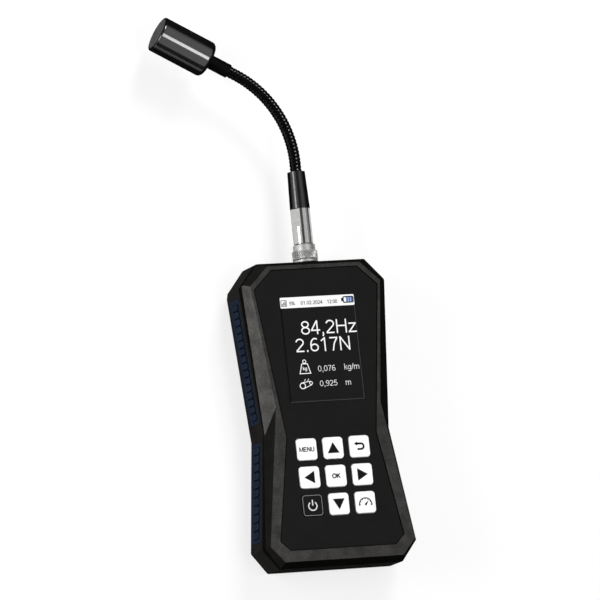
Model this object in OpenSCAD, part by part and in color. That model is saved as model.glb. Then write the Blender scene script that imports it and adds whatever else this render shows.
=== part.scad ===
// Handheld belt tension tester with a gooseneck microphone probe.
// Millimetres. The tester lies on its back: +Z is the display's normal, +Y points to the probe end.
// The origin is the centre of the flat back face.

/* [Housing] */
// Length of the housing without the probe
body_length = 165.3; // [158:0.1:176]
// Width across the upper corners
top_width = 82.6; // [80:0.1:90]
// Width at the waist
waist_width = 72; // [70:0.1:78]
// Width across the lower corners
bottom_width = 86.8; // [84:0.1:94]
// Thickness from the flat back to the front band
body_depth = 32; // [31:0.5:36]
// Shell wall thickness
wall = 2.4; // [2.2:0.1:2.6]

/* [Grips] */
// Height of a grip insert, across the side wall
grip_height = 13.5; // [12:0.5:14]
// How far the grip ribs stand out of the grip
rib_rise = 0.7; // [0.4:0.1:1]

/* [Display and keys] */
// Visible width of the display
display_width = 43.2; // [40:0.1:45]
// Visible height of the display
display_height = 57.6; // [54:0.1:59]
// Side of a square key
key_size = 11.5; // [10:0.1:12]
// Spacing of the keys, both ways
key_pitch = 15.2; // [15:0.1:16]
// How far a key can be pressed
key_travel = 0.3; // [0.2:0.05:0.3]

/* [Probe] */
// Diameter of the knurled coupling ring
ring_diameter = 13.7; // [13.2:0.1:15]
// Diameter of the plug's plain barrel
barrel_diameter = 10.7; // [10.4:0.1:11.4]
// Diameter over the coils of the gooseneck
neck_diameter = 6.3; // [6:0.1:6.8]
// Length of the gooseneck between sleeve and collar
neck_length = 70; // [63:1:90]
// Angle that the gooseneck bends to the left at rest
neck_bend = 60; // [0:1:75]
// Diameter of the microphone head
head_diameter = 20; // [18:0.5:24]
// Length of the microphone head
head_length = 32; // [28:0.5:40]

/* [Fits] */
// Gap between a fixed piece and its seat
seat_gap = 0.15; // [0.1:0.05:0.2]
// Radial gap of a turning fit
running_gap = 0.08; // [0.05:0.01:0.1]

/* [Hidden] */
$fn = 64;
reach = 300;
// How far shapes of one piece run into each other, and how far cuts run past a face
overlap = 0.5;
past = 1;
// Gaps of pressed fits and of pieces that rest on each other, and the play of a screw in its hole
press_gap = 0.05;
resting_gap = 0.02;
screw_play = 0.3;

// Ends and heights of the housing
top_end = body_length / 2;
bottom_end = -body_length / 2;
front_depth = 8;
parting_height = body_depth - front_depth;
socket_drop = 3;
socket_height = parting_height - socket_drop;
tongue_height = 1.2;
tongue_root = 2;
tongue_inset = 1.3;
shadow_groove = 0.45;

// Outline of the housing, right half
waist_rise = 74.8;
waist_y = bottom_end + waist_rise;
waist_point = [waist_width / 2, waist_y];
top_corner = [top_width / 2, top_end - 12.1];
top_flat = [top_width / 2 - 10, top_end];
bottom_corner = [bottom_width / 2, bottom_end + 11];
bottom_flat = [bottom_width / 2 - 8.2, bottom_end];

// Front edges where the lip and the lower band turn into the facets, right half
lip_top = [top_flat.x - 4.6, top_end - 2];
lip_corner = [top_corner.x - 3.8, top_end - 12.5];
lip_apex = [waist_point.x - 5.8, waist_y + 12];
band_corner = [bottom_corner.x - 1.8, bottom_end + 11.5];
band_bottom = [bottom_flat.x - 1.2, bottom_end + 2.9];

// Slopes of the facets, measured from the front plane
side_facet = 42;
top_facet = 60;
band_facet = 62;

// Grips sit between the parting line and the bevels of the back
grip_top_gap = 2.5;
grip_bottom = parting_height - grip_top_gap - grip_height;

// Bevels of the back edge: their slopes, and how high each kind of edge rises
back_side_slope = 45;
back_side_rise = 4;
back_end_slope = 53;
back_step = 0.8;
back_end_rise = grip_bottom - back_step;
back_corner_rise = back_end_rise - back_step;
back_lower_rise = back_corner_rise - back_step;

// How far the upper and lower halves of the form run into each other
upper_overlap = 20;
lower_overlap = 14;

// Overlay panel, right half
overlay_top = [lip_top.x - 1.77, lip_top.y - 2];
overlay_corner = [lip_corner.x - 1.63, lip_corner.y - 2];
overlay_waist = [waist_point.x - 9.92, waist_y - 4.35];
overlay_lower = [band_corner.x - 5.79, band_corner.y + 2.67];
overlay_bottom = [band_bottom.x - 3.54, band_bottom.y + 5.9];

// Layers of the front panel, from the front down
overlay_recess = 0.3;
overlay_height = body_depth - overlay_recess;
overlay_thickness = 0.6;
overlay_gap = 0.6;
spacer_thickness = 0.9;
circuit_thickness = 0.3;
spacer_top = overlay_height - overlay_thickness;
circuit_top = spacer_top - spacer_thickness;
panel_floor = circuit_top - circuit_thickness;
front_inner = panel_floor - wall;

// Keys
keys_y = bottom_end + 47.8;
key_radius = 1.75;
key_rise = 0.5;
key_clearance = 0.3;
key_flange = 0.7;
flange_thickness = 0.25;
flange_gap = 0.05;
flange_bottom = spacer_top - flange_gap - flange_thickness;
dome_height = flange_bottom - key_travel - flange_gap - circuit_top;
dome_radius = key_size * 0.36;
dome_crown = 0.7 * dome_radius;

// Display stack
display_top_gap = 19.2;
display_y = top_end - display_top_gap - display_height / 2;
window_lip = 1.9;
window_corner = 0.6;
window_lip_thickness = 1;
panel_margin = 3;
panel_thickness = 2.4;
panel_top = front_inner - window_lip_thickness;
carrier_top = panel_top - panel_thickness;
carrier_wall = 2;
panel_corner = 1;

// Main board
board_thickness = 1.6;
board_drop = 0.4;
board_top = socket_height - board_drop;
board_bottom = board_top - board_thickness;
board_width = 50;
board_top_end = top_end - 9.65;
board_bottom_end = bottom_end + 16;
board_screw_x = board_width / 2 - 3.5;
board_screw_ys = [board_bottom_end + 4, board_top_end - 3];
board_boss_radius = 2.9;
board_screw_radius = 1.1;
board_head_radius = 2.2;
board_head_height = 1.6;
board_screw_bite = 4;
board_pilot = 5;
board_hole_play = 0.2;
board_tab = 7;
board_tab_gap = 1;

// Housing screws
screw_upper = [top_corner.x - 9.8, top_end - 24.5];
screw_lower = [bottom_corner.x - 10.4, bottom_end + 20.5];
screw_radius = 1.45;
screw_head_radius = 2.75;
screw_head_height = 2.2;
screw_recess = 1;
screw_length = 16;
pilot_spare = 3;
boss_radius = 3.8;
boss_split = 12;

// Cross recesses in the screw heads
cross_share = 0.62;
cross_width = 0.8;
cross_depth = 1.2;
board_cross_depth = 0.8;

// Battery
battery_size = [44, 58, 7.5];
battery_corner = 2;
battery_drop = 20;
battery_y = waist_y - battery_drop;
pad_thickness = 0.8;
pad_margin = 4;
battery_bottom = wall + pad_thickness;
cradle_rib = 1.6;
cradle_play = 0.5;
cradle_height = 5;
cradle_corner = 8;

// Charging port in the top end
port_side_gap = 11.3;
port_x = top_flat.x - port_side_gap;
port_width = 8.94;
port_height = 3.2;
port_depth = 7.5;
port_wall = 0.3;
port_corner = 1.2;
port_tongue = [6.6, 0.7];
port_tongue_setback = 1.5;
port_back = 0.5;
port_clearance = 0.35;
port_setback = 0.6;
port_centre = board_bottom - port_height / 2;

// Probe socket
socket_radius = 4.8;
gasket_thickness = 0.6;
gasket_setback = 0.3;
flange_radius = 6.8;
socket_flange = 1.2;
socket_face = top_end + gasket_thickness + socket_flange;
nose_radius = 4.5;
nose_length = 4.8;
nose_bore = 3.5;
core_radius = 2.3;
core_setback = 1;
socket_tail = 4.6;
nut_thickness = 2;
nut_radius = 7.2;

// Plug and coupling ring
pin_radius = 0.5;
pin_circle = 1.25;
pin_gap = 0.3;
pin_room = 1;
pin_setback = 0.6;
pin_bite = 1.2;
pin_hole_depth = 2;
ring_gap = 0.5;
ring_start = socket_face + ring_gap;
knurl_length = 4.4;
band_length = 3.3;
ring_end = ring_start + knurl_length + band_length;
band_step = 0.8;
band_radius = ring_diameter / 2 - band_step;
ring_shoulder = 1.7;
ring_clearance = 0.4;
ring_bore = nose_radius + ring_clearance;
plug_neck = 4;
plug_flange = 4.6;
plug_flange_length = 1;
plug_clearance = 0.3;
plug_tube = nose_bore - plug_clearance;
plug_tube_bore = core_radius + plug_clearance;
axial_play = 0.3;
plug_flange_end = ring_end - ring_shoulder - axial_play;
plug_reach = 0.6;
plug_tip = socket_face - plug_reach;
barrel_start = ring_end + axial_play;
barrel_length = 19.6;
barrel_chamfer = 0.5;
barrel_floor = 4;
spigot_step = 1.1;
spigot_wall = 1.2;
barrel_end = barrel_start + barrel_length;
barrel_flat_depth = 0.65;
barrel_flat_length = 10;
barrel_flat_turn = -37;
spigot_radius = barrel_diameter / 2 - spigot_step;
spigot_length = 6;
knurl_count = 40;
knurl_depth = 0.3;
knurl_slant = 32;

// Strain sleeve
sleeve_length = 20.4;
sleeve_end = barrel_end + sleeve_length;
sleeve_step = 0.1;
sleeve_taper = 0.65;
sleeve_end_room = 0.2;
sleeve_wide = barrel_diameter / 2 + sleeve_step;
sleeve_narrow = sleeve_wide - sleeve_taper;

// Gooseneck
neck_links = 7;
link_length = neck_length / neck_links;
coil_radius = 0.75;
coils_per_link = 4;
coil_pitch = link_length / (coils_per_link + 1);
coil_rise = 0.55;
core_of_neck = neck_diameter / 2 - coil_rise;
cup_gap = 0.2;
cup_rim = 1.5;
cable_bore = 1.2;
neck_root = 6;
root_room = 0.1;
coil_shift = 0.25;

// Microphone head
collar_radius = 3.85;
collar_length = 12.5;
collar_spigot = 3;
collar_spigot_radius = 3;
head_radius = head_diameter / 2;
head_wall = 1.8;
head_back = 3;
head_back_round = 2.6;
head_front_round = 0.9;
cap_thickness = 3.4;
cap_spigot = 2.5;
screen_rim = 0.35;
screen_radius = head_radius - head_front_round - screen_rim;
screen_thickness = 0.8;
screen_ledge = 2.1;
capsule_radius = 4.85;
capsule_length = 6.7;
capsule_gap = 0.5;

// Colours
shell_black = [0.10, 0.10, 0.10];
grip_blue = [0.10, 0.14, 0.24];
overlay_black = [0.05, 0.05, 0.05];
key_white = [0.95, 0.95, 0.95];
nickel = [0.75, 0.75, 0.74];
sleeve_black = [0.07, 0.07, 0.07];
board_green = [0.05, 0.30, 0.15];
steel = [0.60, 0.60, 0.62];
rubber_grey = [0.20, 0.20, 0.20];

// Helpers for outlines

function unit(v) = v / norm(v);
function left_normal(a, b) = unit([a.y - b.y, b.x - a.x]);
function both_sides(half) = concat(half, [for (i = [len(half) - 1:-1:0]) [-half[i].x, half[i].y]]);
function on_line(a, b, y) = [a.x + (b.x - a.x) * (y - a.y) / (b.y - a.y), y];

// A corner moved inwards so that both its edges move by the same distance
function inset_corner(before, corner, after, distance) =
    let (n = left_normal(before, corner), m = left_normal(corner, after))
    corner + distance * (n + m) / (1 + n * m);

function inset(loop, distance) =
    let (count = len(loop))
    [for (i = [0:count - 1])
        inset_corner(loop[(i + count - 1) % count], loop[i], loop[(i + 1) % count], distance)];

upper_foot = waist_y - upper_overlap;
lower_head = waist_y + lower_overlap;
upper_loop = both_sides([on_line(waist_point, top_corner, upper_foot), top_corner, top_flat]);
lower_loop = both_sides([bottom_flat, bottom_corner, on_line(bottom_corner, waist_point, lower_head)]);
lip_loop = both_sides([on_line(lip_apex, lip_corner, upper_foot), lip_corner, lip_top]);
band_loop = both_sides([band_bottom, band_corner, on_line(band_corner, lip_apex, lower_head)]);
overlay_loop = both_sides([overlay_bottom, overlay_lower, overlay_waist, overlay_corner, overlay_top]);

// Edge numbers of the loops that get a bevel, with the slope of each, and at the back its rise
upper_bevels = [[0, side_facet], [1, side_facet], [2, top_facet], [3, side_facet], [4, side_facet]];
lower_bevels = [[0, band_facet], [1, band_facet], [3, band_facet], [4, band_facet], [5, band_facet]];
upper_back = [
    [0, back_side_slope, back_side_rise],
    [1, back_end_slope, back_corner_rise],
    [2, back_end_slope, back_end_rise],
    [3, back_end_slope, back_corner_rise],
    [4, back_side_slope, back_side_rise]
];
lower_back = [
    [0, back_end_slope, back_corner_rise],
    [1, back_end_slope, back_lower_rise],
    [3, back_end_slope, back_lower_rise],
    [4, back_end_slope, back_corner_rise],
    [5, back_end_slope, back_end_rise]
];

// Everything above a plane that holds the line a-b at a height and falls outwards by a slope
module above_plane(a, b, height, slope, shift) {
    along = b - a;
    translate([a.x, a.y, height])
        rotate(atan2(along.y, along.x))
            translate([0, shift, 0])
                rotate([slope, 0, 0])
                    translate([-reach, -reach, 0])
                        cube([2 * reach, 2 * reach, reach]);
}

// One half of the front form, moved inwards by a distance on all faces
module front_half(loop, edges, bevels, distance, bottom, top) {
    difference() {
        translate([0, 0, bottom])
            linear_extrude(top - bottom)
                polygon(inset(loop, distance));
        for (bevel = bevels) {
            a = edges[bevel[0]];
            b = edges[(bevel[0] + 1) % len(edges)];
            above_plane(a, b, body_depth - distance, bevel[1], distance * tan(bevel[1] / 2));
        }
    }
}

module front_form(distance, bottom, top) {
    front_half(upper_loop, lip_loop, upper_bevels, distance, bottom, top);
    front_half(lower_loop, band_loop, lower_bevels, distance, bottom, top);
}

// One half of the rear form, moved inwards by a distance on all faces
module rear_half(loop, bevels, distance) {
    difference() {
        translate([0, 0, distance])
            linear_extrude(parting_height - distance)
                polygon(inset(loop, distance));
        for (bevel = bevels) {
            a = loop[bevel[0]];
            b = loop[(bevel[0] + 1) % len(loop)];
            foot = bevel[2] / tan(bevel[1]);
            mirror([0, 0, 1])
                above_plane(a, b, -distance, bevel[1], foot + distance * tan(bevel[1] / 2));
        }
    }
}

module rear_form(distance) {
    rear_half(upper_loop, upper_back, distance);
    rear_half(lower_loop, lower_back, distance);
}

module outline(distance) {
    polygon(inset(upper_loop, distance));
    polygon(inset(lower_loop, distance));
}

// Small shared shapes

module rounded_square(size, radius) {
    square([size.x - 2 * radius, size.y], center = true);
    square([size.x, size.y - 2 * radius], center = true);
    for (x = [-1, 1], y = [-1, 1])
        translate([x * (size.x / 2 - radius), y * (size.y / 2 - radius)])
            circle(radius);
}

module slab(size, radius, bottom, top) {
    translate([0, 0, bottom])
        linear_extrude(top - bottom)
            rounded_square(size, radius);
}

module box_between(low, high) {
    translate(low)
        cube(high - low);
}

// Children drawn along +Z are laid along the probe's axis, +Y, starting at a distance along it
module on_probe_axis(start) {
    translate([0, start, socket_height])
        rotate([-90, 0, 0])
            children();
}

module tube(radius, bore, length) {
    difference() {
        cylinder(r = radius, h = length);
        translate([0, 0, -past])
            cylinder(r = bore, h = length + 2 * past);
    }
}

// Places of the screws

module at_housing_screws() {
    for (side = [-1, 1], place = [screw_upper, screw_lower])
        translate([side * place.x, place.y, 0])
            children();
}

module at_board_screws() {
    for (side = [-1, 1], y = board_screw_ys)
        translate([side * board_screw_x, y, 0])
            children();
}

// Openings in the shells

module socket_hole() {
    on_probe_axis(top_end - 4 * wall)
        cylinder(r = socket_radius + seat_gap, h = 8 * wall);
}

module port_hole() {
    size = [port_width + 2 * port_clearance, port_height + 2 * port_clearance];
    translate([port_x, top_end, port_centre])
        rotate([90, 0, 0])
            linear_extrude(4 * wall, center = true)
                rounded_square(size, port_corner + port_wall);
}

module window_hole(bottom, top) {
    size = [display_width + 2 * seat_gap, display_height + 2 * seat_gap];
    translate([0, display_y, 0])
        slab(size, window_corner + seat_gap, bottom, top);
}

// Housing shells

module front_shell() {
    color(shell_black)
        difference() {
            union() {
                difference() {
                    front_form(0, parting_height, body_depth);
                    front_form(wall, parting_height - past, front_inner);
                    translate([0, 0, parting_height - past])
                        linear_extrude(tongue_height + seat_gap + past)
                            outline(tongue_inset - seat_gap);
                }
                front_bosses();
            }
            translate([0, 0, panel_floor])
                linear_extrude(reach)
                    polygon(overlay_loop);
            window_hole(front_inner - past, panel_floor + past);
            socket_hole();
        }
}

module front_bosses() {
    pilot = screw_length - boss_split + screw_recess + pilot_spare;
    at_housing_screws()
        translate([0, 0, boss_split + seat_gap])
            difference() {
                cylinder(r = boss_radius, h = front_inner + overlap - boss_split - seat_gap);
                translate([0, 0, -past])
                    cylinder(r = screw_radius + press_gap, h = pilot + past);
            }
    at_board_screws()
        translate([0, 0, board_top])
            difference() {
                cylinder(r = board_boss_radius, h = front_inner + overlap - board_top);
                translate([0, 0, -past])
                    cylinder(r = board_screw_radius + press_gap, h = board_pilot + past);
            }
}

module rear_shell() {
    color(shell_black)
        difference() {
            union() {
                difference() {
                    rear_form(0);
                    rear_form(wall);
                    translate([0, 0, parting_height - past])
                        linear_extrude(2 * past)
                            outline(wall);
                    shadow_line();
                }
                tongue();
                rear_bosses();
                battery_cradle();
            }
            at_housing_screws()
                screw_passage();
            grip_pockets();
            socket_hole();
            port_hole();
        }
}

// Raised rim that locates the front shell
module tongue() {
    translate([0, 0, parting_height - tongue_root])
        linear_extrude(tongue_height + tongue_root)
            difference() {
                outline(tongue_inset);
                outline(wall);
            }
}

// Narrow step under the parting line that reads as a dark line
module shadow_line() {
    translate([0, 0, parting_height - shadow_groove])
        linear_extrude(past)
            difference() {
                outline(-past);
                outline(shadow_groove);
            }
}

module rear_bosses() {
    at_housing_screws()
        translate([0, 0, wall / 2])
            cylinder(r = boss_radius, h = boss_split - wall / 2);
}

module screw_passage() {
    translate([0, 0, -past])
        cylinder(r = screw_radius + screw_play, h = reach);
    translate([0, 0, -past])
        cylinder(r = screw_head_radius + screw_play, h = screw_recess + screw_head_height + past);
}

module battery_cradle() {
    inner = [battery_size.x + 2 * cradle_play, battery_size.y + 2 * cradle_play];
    outer = inner + [2 * cradle_rib, 2 * cradle_rib];
    translate([0, battery_y, wall - overlap])
        linear_extrude(cradle_height + overlap)
            difference() {
                square(outer, center = true);
                square(inner, center = true);
                square([inner.x - 2 * cradle_corner, outer.y + 2 * past], center = true);
                square([outer.x + 2 * past, inner.y - 2 * cradle_corner], center = true);
            }
}

module housing_screws() {
    color(steel)
        at_housing_screws()
            difference() {
                union() {
                    translate([0, 0, screw_recess])
                        cylinder(r = screw_head_radius, h = screw_head_height);
                    translate([0, 0, screw_recess])
                        cylinder(r = screw_radius, h = screw_length);
                }
                cross_recess(screw_head_radius, screw_recess, cross_depth);
            }
}

module cross_recess(radius, bottom, depth) {
    for (turn = [0, 90])
        rotate(turn)
            translate([-radius * cross_share, -cross_width / 2, bottom - past])
                cube([2 * radius * cross_share, cross_width, depth + past]);
}

module board_screws() {
    length = board_head_height + board_thickness + board_screw_bite;
    color(steel)
        at_board_screws()
            difference() {
                union() {
                    translate([0, 0, board_bottom - board_head_height])
                        cylinder(r = board_head_radius, h = board_head_height);
                    translate([0, 0, board_bottom - board_head_height])
                        cylinder(r = board_screw_radius, h = length);
                }
                cross_recess(board_head_radius, board_bottom - board_head_height, board_cross_depth);
            }
}

// Side grips: a soft insert with a row of rounded ribs, let into the rear shell

grip_depth = 1;
grip_proud = 0.1;
rib_root = 0.2;
grip_end_gap = 5;
grip_corner = 2;
rib_groove = 0.9;
rib_round = 1.4;
rib_end_margin = 2;
rib_length = grip_height - 2 * rib_end_margin;
upper_pitch = 4.0;
lower_pitch = 4.6;
upper_grip = [waist_point, top_corner, upper_pitch];
lower_grip = [bottom_corner, waist_point, lower_pitch];

function grip_length(grip) = norm(grip[1] - grip[0]) - 2 * grip_end_gap;

// Children drawn in X-Y stand on the side wall: X along the wall, Y up, +Z out of the wall
module on_side_wall(grip, side) {
    along = grip[1] - grip[0];
    middle = (grip[0] + grip[1]) / 2;
    mirror([side < 0 ? 1 : 0, 0, 0])
        translate([middle.x, middle.y, grip_bottom + grip_height / 2])
            rotate(atan2(along.y, along.x))
                rotate([90, 0, 0])
                    children();
}

module grip_insert(grip, side) {
    size = [grip_length(grip), grip_height];
    rib_width = grip[2] - rib_groove;
    count = floor((size.x - 2 * grip_corner - rib_width) / grip[2]);
    color(grip_blue)
        on_side_wall(grip, side) {
            slab(size, grip_corner, -grip_depth, grip_proud);
            for (i = [0:count])
                translate([(i - count / 2) * grip[2], 0, 0])
                    slab([rib_width, rib_length], rib_round, -rib_root, rib_rise);
        }
}

module grip_pockets() {
    for (side = [-1, 1], grip = [upper_grip, lower_grip]) {
        size = [grip_length(grip) + 2 * seat_gap, grip_height + 2 * seat_gap];
        on_side_wall(grip, side)
            slab(size, grip_corner + seat_gap, -grip_depth - press_gap, 2 * past);
    }
}

module grip_upper_left() {
    grip_insert(upper_grip, -1);
}

module grip_upper_right() {
    grip_insert(upper_grip, 1);
}

module grip_lower_left() {
    grip_insert(lower_grip, -1);
}

module grip_lower_right() {
    grip_insert(lower_grip, 1);
}

// Front panel

module panel_layer(bottom, top, gap) {
    difference() {
        translate([0, 0, bottom])
            linear_extrude(top - bottom)
                polygon(inset(overlay_loop, gap));
        window_hole(bottom - past, top + past);
    }
}

module at_keys() {
    for (column = [-1:1], row = [-1:1])
        translate([column * key_pitch, keys_y + row * key_pitch, 0])
            children();
}

module keypad_overlay() {
    size = key_size + 2 * key_clearance;
    color(overlay_black)
        difference() {
            panel_layer(spacer_top, overlay_height, overlay_gap);
            at_keys()
                slab([size, size], key_radius + key_clearance, spacer_top - past, overlay_height + past);
        }
}

module keypad_spacer() {
    size = key_size + 2 * (key_flange + key_clearance);
    color(rubber_grey)
        difference() {
            panel_layer(circuit_top, spacer_top, seat_gap);
            at_keys()
                slab([size, size], key_radius, circuit_top - past, spacer_top + past);
        }
}

module keypad_circuit() {
    color([0.30, 0.32, 0.30])
        panel_layer(panel_floor, circuit_top, seat_gap);
}

module snap_domes() {
    color(steel)
        at_keys()
            translate([0, 0, circuit_top])
                cylinder(r1 = dome_radius, r2 = dome_crown, h = dome_height);
}

// A key with the flange that keeps it under the overlay
module key_at(column, row, tint) {
    flange = key_size + 2 * key_flange;
    color(tint)
        translate([column * key_pitch, keys_y + row * key_pitch, 0]) {
            slab([key_size, key_size], key_radius, flange_bottom, overlay_height + key_rise);
            slab([flange, flange], key_radius, flange_bottom, flange_bottom + flange_thickness);
        }
}

module key_menu() {
    key_at(-1, 1, key_white);
}

module key_up() {
    key_at(0, 1, key_white);
}

module key_back() {
    key_at(1, 1, key_white);
}

module key_left() {
    key_at(-1, 0, key_white);
}

module key_ok() {
    key_at(0, 0, key_white);
}

module key_right() {
    key_at(1, 0, key_white);
}

module key_power() {
    key_at(-1, -1, overlay_black);
}

module key_down() {
    key_at(0, -1, key_white);
}

module key_measure() {
    key_at(1, -1, key_white);
}

// Display

module display_window() {
    size = [display_width, display_height];
    lip = [2 * window_lip, 2 * window_lip];
    color([0.15, 0.16, 0.18])
        translate([0, display_y, 0]) {
            slab(size, window_corner, panel_top, overlay_height);
            slab(size + lip, window_corner, panel_top, front_inner);
        }
}

module display_panel() {
    size = [display_width + 2 * panel_margin, display_height + 2 * panel_margin];
    color([0.35, 0.36, 0.38])
        translate([0, display_y, 0])
            slab(size, panel_corner, carrier_top, panel_top);
}

module display_carrier() {
    outer = [display_width + 2 * panel_margin, display_height + 2 * panel_margin];
    inner = outer - [2 * carrier_wall, 2 * carrier_wall];
    color(rubber_grey)
        translate([0, display_y, board_top])
            linear_extrude(carrier_top - board_top)
                difference() {
                    rounded_square(outer, panel_corner);
                    rounded_square(inner, panel_corner);
                }
}

// Electronics

module main_board() {
    color(board_green)
        difference() {
            union() {
                box_between(
                    [-board_width / 2, board_bottom_end, board_bottom],
                    [board_width / 2, board_top_end, board_top]
                );
                box_between(
                    [port_x - board_tab, board_top_end - past, board_bottom],
                    [board_width / 2, top_end - wall - board_tab_gap, board_top]
                );
            }
            at_board_screws()
                translate([0, 0, board_bottom - past])
                    cylinder(r = board_screw_radius + board_hole_play, h = board_thickness + 2 * past);
        }
}

module battery() {
    size = [battery_size.x, battery_size.y];
    color([0.55, 0.57, 0.60])
        translate([0, battery_y, 0])
            slab(size, battery_corner, battery_bottom, battery_bottom + battery_size.z);
}

module battery_pad() {
    size = [battery_size.x - 2 * pad_margin, battery_size.y - 2 * pad_margin];
    color(rubber_grey)
        translate([0, battery_y, 0])
            slab(size, battery_corner, wall + resting_gap, battery_bottom);
}

// Two wires that rise from the battery's edge to the board
module battery_lead() {
    wire = 0.6;
    start = battery_y + battery_size.y / 2;
    bend = 3;
    height = battery_bottom + battery_size.z / 2;
    color([0.70, 0.10, 0.10])
        for (x = [-1, 1])
            translate([x, 0, 0]) {
                translate([0, start, height])
                    rotate([-90, 0, 0])
                        cylinder(r = wire, h = bend);
                translate([0, start + bend, height])
                    sphere(wire);
                translate([0, start + bend, height])
                    cylinder(r = wire, h = board_bottom - height);
            }
}

module charging_port() {
    mouth = top_end - port_setback;
    size = [port_width, port_height];
    color(nickel)
        translate([port_x, mouth, port_centre])
            rotate([90, 0, 0]) {
                difference() {
                    linear_extrude(port_depth)
                        rounded_square(size, port_corner);
                    translate([0, 0, -past])
                        linear_extrude(port_depth - port_back + past)
                            rounded_square(size - [2 * port_wall, 2 * port_wall], port_corner - port_wall);
                }
                translate([-port_tongue.x / 2, -port_tongue.y / 2, port_tongue_setback])
                    cube([port_tongue.x, port_tongue.y, port_depth - port_back / 2 - port_tongue_setback]);
            }
}

// Three wires from the socket's tail to the board
module probe_lead() {
    wire = 0.35;
    spacing = 1.6;
    on_board = 4;
    color([0.70, 0.10, 0.10])
        for (place = [-1:1])
            translate([place * spacing, board_top_end - on_board, board_top + wire + resting_gap])
                rotate([-90, 0, 0])
                    cylinder(r = wire, h = top_end - wall - socket_tail - board_top_end + on_board);
}

// Probe socket in the top end

module at_pins() {
    for (turn = [0, 120, 240])
        rotate(turn)
            translate([pin_circle, 0, 0])
                children();
}

module probe_socket() {
    tail_start = top_end - wall - socket_tail;
    color(nickel)
        difference() {
            union() {
                on_probe_axis(tail_start)
                    cylinder(r = socket_radius, h = socket_face - tail_start);
                on_probe_axis(socket_face - socket_flange)
                    cylinder(r = flange_radius, h = socket_flange);
                on_probe_axis(socket_face - overlap)
                    cylinder(r = nose_radius, h = nose_length + overlap);
            }
            on_probe_axis(plug_tip - axial_play)
                tube(nose_bore, core_radius, 4 * nose_length);
            on_probe_axis(socket_face + nose_length - core_setback)
                cylinder(r = nose_bore, h = nose_length);
            on_probe_axis(plug_tip - pin_room)
                at_pins()
                    cylinder(r = pin_radius + pin_gap, h = 4 * nose_length);
        }
}

module socket_gasket() {
    color(rubber_grey)
        on_probe_axis(top_end)
            tube(flange_radius - gasket_setback, socket_radius + seat_gap, gasket_thickness);
}

module socket_nut() {
    color(nickel)
        on_probe_axis(top_end - wall - nut_thickness)
            difference() {
                cylinder(r = nut_radius, h = nut_thickness, $fn = 6);
                translate([0, 0, -past])
                    cylinder(r = socket_radius + press_gap, h = nut_thickness + 2 * past);
            }
}

// Plug

module plug_body() {
    color(nickel)
        difference() {
            union() {
                on_probe_axis(plug_tip)
                    cylinder(r = plug_tube, h = plug_flange_end - plug_tip);
                on_probe_axis(plug_flange_end - plug_flange_length)
                    cylinder(r = plug_flange, h = plug_flange_length);
                on_probe_axis(plug_flange_end - overlap)
                    cylinder(r = plug_neck, h = barrel_start - plug_flange_end + overlap);
            }
            on_probe_axis(plug_tip - past)
                cylinder(r = plug_tube_bore, h = nose_length + past);
            on_probe_axis(plug_tip + nose_length - past)
                at_pins()
                    cylinder(r = pin_radius + resting_gap, h = pin_hole_depth + past);
        }
}

module plug_pins() {
    color([0.80, 0.65, 0.25])
        on_probe_axis(plug_tip + pin_setback)
            at_pins()
                cylinder(r = pin_radius, h = nose_length + pin_bite);
}

// Crossed straight notches cut the diamond pattern
module knurl_notches() {
    notch = 1.2 * knurl_depth;
    for (turn = [0:knurl_count - 1], slant = [-knurl_slant, knurl_slant])
        rotate(turn * 360 / knurl_count)
            translate([ring_diameter / 2, 0, knurl_length / 2])
                rotate([slant, 0, 0])
                    linear_extrude(2 * knurl_length, center = true)
                        polygon([[-knurl_depth, 0], [knurl_depth, -2 * notch], [knurl_depth, 2 * notch]]);
}

module coupling_ring() {
    color(nickel)
        on_probe_axis(ring_start)
            difference() {
                union() {
                    difference() {
                        cylinder(r = ring_diameter / 2, h = knurl_length);
                        knurl_notches();
                    }
                    cylinder(r = band_radius, h = knurl_length + band_length);
                }
                translate([0, 0, -past])
                    cylinder(r = ring_bore, h = knurl_length + band_length - ring_shoulder + past);
                translate([0, 0, -past])
                    cylinder(r = plug_neck + running_gap, h = reach);
            }
}

module plug_barrel() {
    radius = barrel_diameter / 2;
    color(nickel)
        difference() {
            union() {
                on_probe_axis(barrel_start)
                    cylinder(r1 = radius - barrel_chamfer, r2 = radius, h = barrel_chamfer);
                on_probe_axis(barrel_start + barrel_chamfer)
                    cylinder(r = radius, h = barrel_length - barrel_chamfer);
                on_probe_axis(barrel_end - overlap)
                    cylinder(r = spigot_radius, h = spigot_length + overlap);
            }
            on_probe_axis(barrel_end - barrel_flat_length)
                for (turn = [0, 180])
                    rotate(turn - 90 - barrel_flat_turn)
                        translate([-radius, radius - barrel_flat_depth, 0])
                            cube([2 * radius, radius, barrel_flat_length]);
            on_probe_axis(barrel_start + barrel_floor)
                cylinder(r = spigot_radius - spigot_wall, h = reach);
        }
}

module strain_sleeve() {
    color(sleeve_black)
        on_probe_axis(barrel_end)
            difference() {
                cylinder(r1 = sleeve_wide, r2 = sleeve_narrow, h = sleeve_length);
                translate([0, 0, -past])
                    cylinder(r = spigot_radius + press_gap, h = spigot_length + sleeve_end_room + past);
                translate([0, 0, sleeve_length - neck_root])
                    cylinder(r = core_of_neck + press_gap, h = neck_root + past);
                cylinder(r = cable_bore, h = reach);
            }
}

// Gooseneck: links that meet in ball-and-cup ends

function heading(link) = neck_bend * (link - 1) / (neck_links - 1);
function pivot(link) = link == 0
    ? [0, sleeve_end]
    : pivot(link - 1) + link_length * [-sin(heading(link)), cos(heading(link))];

// Children drawn along +Z are laid along a link, starting at the pivot before it
module on_link(link) {
    start = pivot(link - 1);
    translate([start.x, start.y, socket_height])
        rotate(heading(link))
            rotate([-90, 0, 0])
                children();
}

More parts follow.
